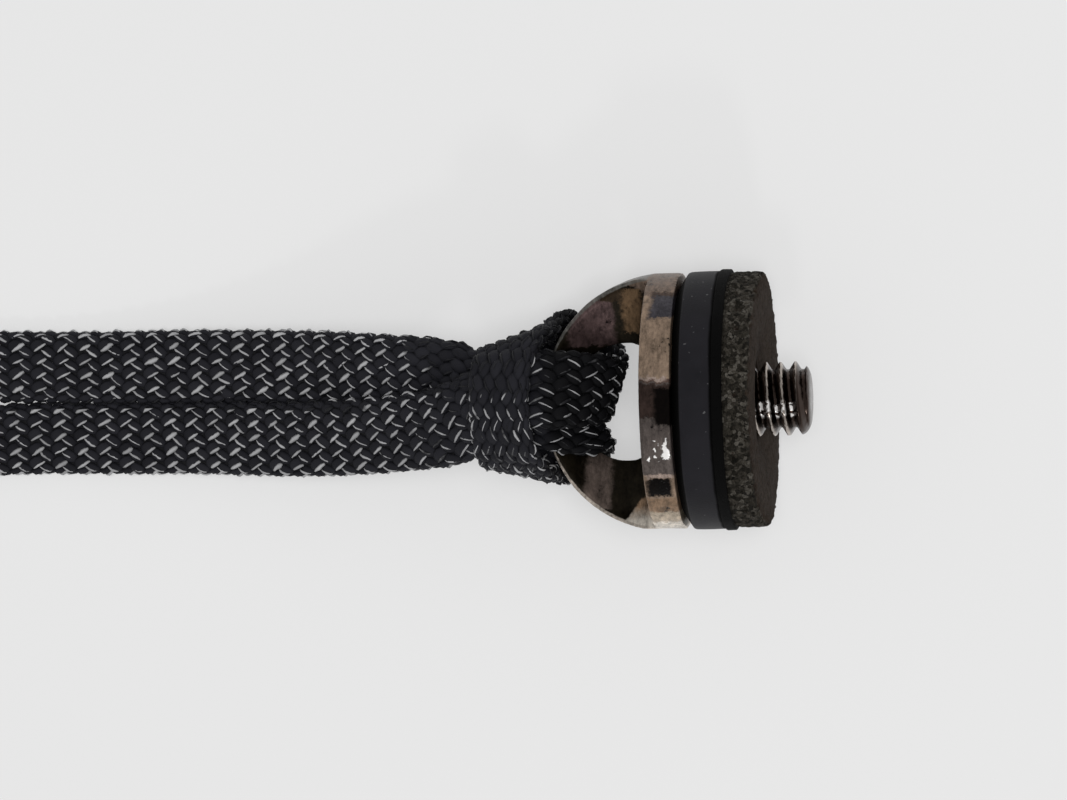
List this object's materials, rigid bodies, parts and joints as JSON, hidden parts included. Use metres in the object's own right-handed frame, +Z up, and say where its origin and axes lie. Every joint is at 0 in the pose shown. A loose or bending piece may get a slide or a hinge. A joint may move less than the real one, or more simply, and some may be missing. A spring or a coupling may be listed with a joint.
{
  "type": "camera screw wrist strap",
  "caption": "Braided wrist strap hitched round the bail of a camera screw with a rubber washer and a grip pad.",
  "frame": {"origin": "on the table, under the middle of the part's outer box", "axes": "+X from the wrist loop to the stud, along the screw axis; +Z up from the table"},
  "size_m": [0.2314, 0.0658, 0.0223],
  "materials": {
    "bail_metal": "polished dark nickel plate with warm reflections",
    "stud_steel": "dark plated steel, bright on the thread's crests",
    "washer_rubber": "smooth black rubber, soft sheen",
    "pad_cork": "dark cork and rubber composition, matt and granular",
    "strap_braid": "black tubular braid with grey tracer yarns"
  },
  "bodies": {
    "root": {"bail_ring": "bail_metal", "thread_stud": "stud_steel", "rubber_washer": "washer_rubber", "grip_pad": "pad_cork", "braided_strap": "strap_braid"}
  },
  "joints": []
}
